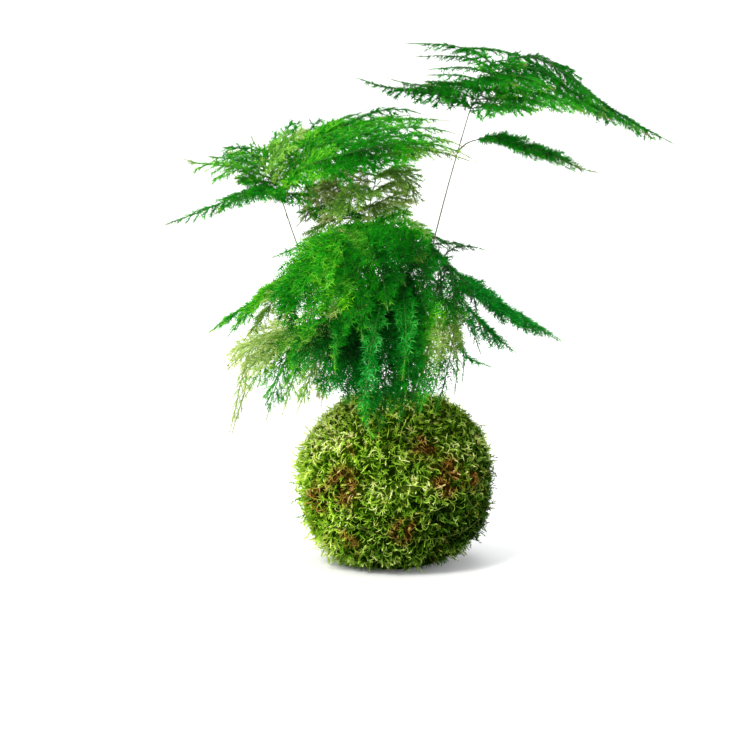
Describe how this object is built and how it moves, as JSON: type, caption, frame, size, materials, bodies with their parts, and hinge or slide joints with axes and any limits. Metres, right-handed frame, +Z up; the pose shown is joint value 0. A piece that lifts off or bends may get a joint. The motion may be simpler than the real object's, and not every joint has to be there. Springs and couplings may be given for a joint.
{
  "type": "kokedama moss ball plant",
  "caption": "Lace fern with wiry stems and flat feathery sprays, rooted in a soil ball wrapped in living moss and bound with thread, resting on a small flat spot.",
  "frame": {"origin": "centre of the flat resting spot under the moss ball", "axes": "+Z up from the resting face; +X to the right and +Y away as the picture is seen"},
  "size_m": [0.3125, 0.1976, 0.3149],
  "materials": {
    "moss": "living carpet moss, yellow-green to deep green with brown patches, matt",
    "soil": "damp dark potting soil, matt",
    "thread": "thin dark green binding thread",
    "stem": "wiry green-brown stem, half matt",
    "foliage": "fine soft needles, vivid green, half matt"
  },
  "bodies": {
    "root": {"moss_wrap": "moss", "soil_core": "soil", "binding_thread": "thread", "stem_upper_right": "stem", "stem_upper_left": "stem", "stem_middle_high": "stem", "stem_middle_low": "stem", "stem_front_left": "stem", "stem_front_centre": "stem", "stem_front_right": "stem", "stem_left_back": "stem", "stem_left_low": "stem", "stem_right_back": "stem", "stem_right_high": "stem", "stem_right_low": "stem", "stem_back": "stem", "stem_back_left": "stem", "frond_upper_right": "foliage", "frond_upper_right_low": "foliage", "frond_upper_left": "foliage", "frond_middle_high": "foliage", "frond_middle_low": "foliage", "frond_front_left": "foliage", "frond_front_centre": "foliage", "frond_front_right": "foliage", "frond_left_back": "foliage", "frond_left_low": "foliage", "frond_right_back": "foliage", "frond_right_high": "foliage", "frond_right_low": "foliage", "frond_back": "foliage", "frond_back_left": "foliage"}
  },
  "joints": []
}
